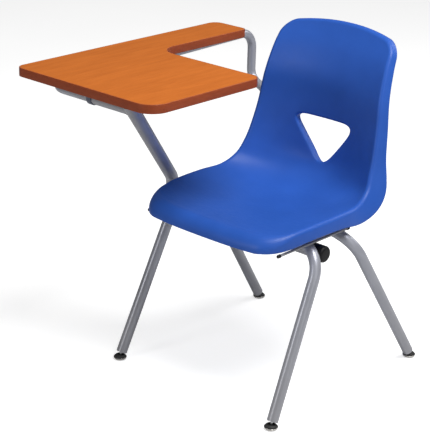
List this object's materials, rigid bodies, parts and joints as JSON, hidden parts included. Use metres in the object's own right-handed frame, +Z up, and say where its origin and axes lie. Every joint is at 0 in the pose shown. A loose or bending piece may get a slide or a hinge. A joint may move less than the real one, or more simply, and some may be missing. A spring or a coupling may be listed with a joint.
{
  "type": "student tablet-arm chair",
  "caption": "Moulded blue shell seat with a triangular opening in its back, on splayed tube legs with swivel glides, and a woodgrain writing tablet on a bent-tube arm.",
  "frame": {"origin": "on the floor, at the middle of the whole chair's box seen from above; the seat's own centre plane is at X = 0.0934", "axes": "+Z up; -Y the way the sitter faces; +X to the sitter's left, so the tablet is on the -X side, at the sitter's right hand"},
  "size_m": [0.6932, 0.7632, 0.7732],
  "materials": {
    "seat_plastic": "moulded blue polypropylene, satin sheen",
    "frame_paint": "silver-grey powder coat on steel",
    "black_plastic": "moulded black plastic",
    "cushion_rubber": "black rubber",
    "nickel_steel": "nickel plate",
    "zinc_steel": "bright zinc plate",
    "clip_steel": "dark grey paint",
    "insert_brass": "machined",
    "particle_board": "pressed wood particles",
    "wood_laminate": "orange cherry woodgrain laminate, satin",
    "backing_sheet": "brown phenolic backing sheet",
    "edge_band": "red-brown edge band"
  },
  "bodies": {
    "chair": {"seat_shell": "seat_plastic", "seat_bosses": "seat_plastic", "boss_inserts": "insert_brass", "seat_screws": "zinc_steel", "seat_washers": "zinc_steel", "left_seat_strap": "frame_paint", "right_seat_strap": "frame_paint", "left_seat_rail": "frame_paint", "right_seat_rail": "frame_paint", "rail_end_caps": "black_plastic", "front_leg_hoop": "frame_paint", "rear_leg_hoop": "frame_paint", "left_side_brace": "frame_paint", "right_side_brace": "frame_paint", "left_tube_bracket": "frame_paint", "right_tube_bracket": "frame_paint", "tablet_post": "frame_paint", "post_end_cap": "black_plastic", "rear_upright": "frame_paint", "saddle_clips": "clip_steel", "clip_screws": "zinc_steel", "tablet_core": "particle_board", "tablet_top_laminate": "wood_laminate", "tablet_backing_sheet": "backing_sheet", "tablet_edge_band": "edge_band", "glide_plugs": "black_plastic", "glide_studs": "zinc_steel"},
    "front_left_cushion": {"front_left_cushion": "cushion_rubber"},
    "front_left_glide": {"front_left_glide": "nickel_steel"},
    "rear_left_cushion": {"rear_left_cushion": "cushion_rubber"},
    "rear_left_glide": {"rear_left_glide": "nickel_steel"},
    "front_right_cushion": {"front_right_cushion": "cushion_rubber"},
    "front_right_glide": {"front_right_glide": "nickel_steel"},
    "rear_right_cushion": {"rear_right_cushion": "cushion_rubber"},
    "rear_right_glide": {"rear_right_glide": "nickel_steel"}
  },
  "joints": [
    {"name": "front_left_tilt", "type": "hinge", "parent": "chair", "child": "front_left_cushion", "pos_m": [0.32772, -0.25415, 0.008], "axis": [1, 0, 0], "range_deg": [-6, 6]},
    {"name": "front_left_spin", "type": "hinge", "parent": "front_left_cushion", "child": "front_left_glide", "pos_m": [0.32772, -0.25415, 0.004], "axis": [0, 0, 1], "continuous": true},
    {"name": "rear_left_tilt", "type": "hinge", "parent": "chair", "child": "rear_left_cushion", "pos_m": [0.33114, 0.24862, 0.008], "axis": [1, 0, 0], "range_deg": [-6, 6]},
    {"name": "rear_left_spin", "type": "hinge", "parent": "rear_left_cushion", "child": "rear_left_glide", "pos_m": [0.33114, 0.24862, 0.004], "axis": [0, 0, 1], "continuous": true},
    {"name": "front_right_tilt", "type": "hinge", "parent": "chair", "child": "front_right_cushion", "pos_m": [-0.141, -0.25415, 0.008], "axis": [1, 0, 0], "range_deg": [-6, 6]},
    {"name": "front_right_spin", "type": "hinge", "parent": "front_right_cushion", "child": "front_right_glide", "pos_m": [-0.141, -0.25415, 0.004], "axis": [0, 0, 1], "continuous": true},
    {"name": "rear_right_tilt", "type": "hinge", "parent": "chair", "child": "rear_right_cushion", "pos_m": [-0.14441, 0.24862, 0.008], "axis": [1, 0, 0], "range_deg": [-6, 6]},
    {"name": "rear_right_spin", "type": "hinge", "parent": "rear_right_cushion", "child": "rear_right_glide", "pos_m": [-0.14441, 0.24862, 0.004], "axis": [0, 0, 1], "continuous": true}
  ]
}
